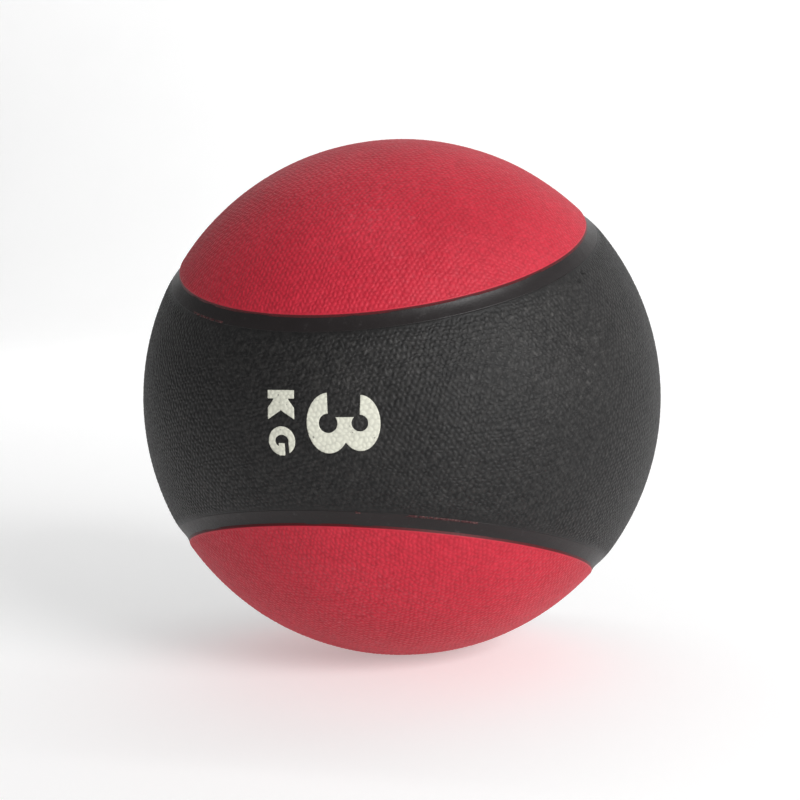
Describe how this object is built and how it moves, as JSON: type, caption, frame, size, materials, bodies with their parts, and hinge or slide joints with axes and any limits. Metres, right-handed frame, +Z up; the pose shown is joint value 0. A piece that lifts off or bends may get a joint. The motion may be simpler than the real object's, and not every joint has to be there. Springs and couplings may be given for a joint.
{
  "type": "medicine ball",
  "caption": "Hollow rubber medicine ball with two round red panels, a black waist band, smooth seam channels, an inflation valve and a printed weight mark.",
  "frame": {"origin": "centre of the ball", "axes": "+Y out of the inflation valve at the back, where the waist band is widest; -Y through the front of the waist, where it is narrowest and carries the weight mark; +Z up through the upper red panel; +X to the right seen from the front"},
  "size_m": [0.225, 0.2249, 0.2244],
  "materials": {
    "red_rubber": "matte",
    "black_rubber": "matte",
    "seam_rubber": "satin",
    "weight_rubber": "matte",
    "winding_yarn": "matte",
    "butyl_rubber": "satin",
    "valve_rubber": "satin",
    "core_rubber": "satin",
    "mark_ink": "matte"
  },
  "bodies": {
    "root": {"upper_red_panel": "red_rubber", "lower_red_panel": "red_rubber", "upper_seam_strip": "seam_rubber", "lower_seam_strip": "seam_rubber", "waist_band": "black_rubber", "front_weight_shell": "weight_rubber", "rear_weight_shell": "weight_rubber", "nylon_winding": "winding_yarn", "air_bladder": "butyl_rubber", "valve_boot": "valve_rubber", "valve_core": "core_rubber", "valve_patch": "butyl_rubber", "weight_numeral": "mark_ink", "unit_letters": "mark_ink"}
  },
  "joints": []
}
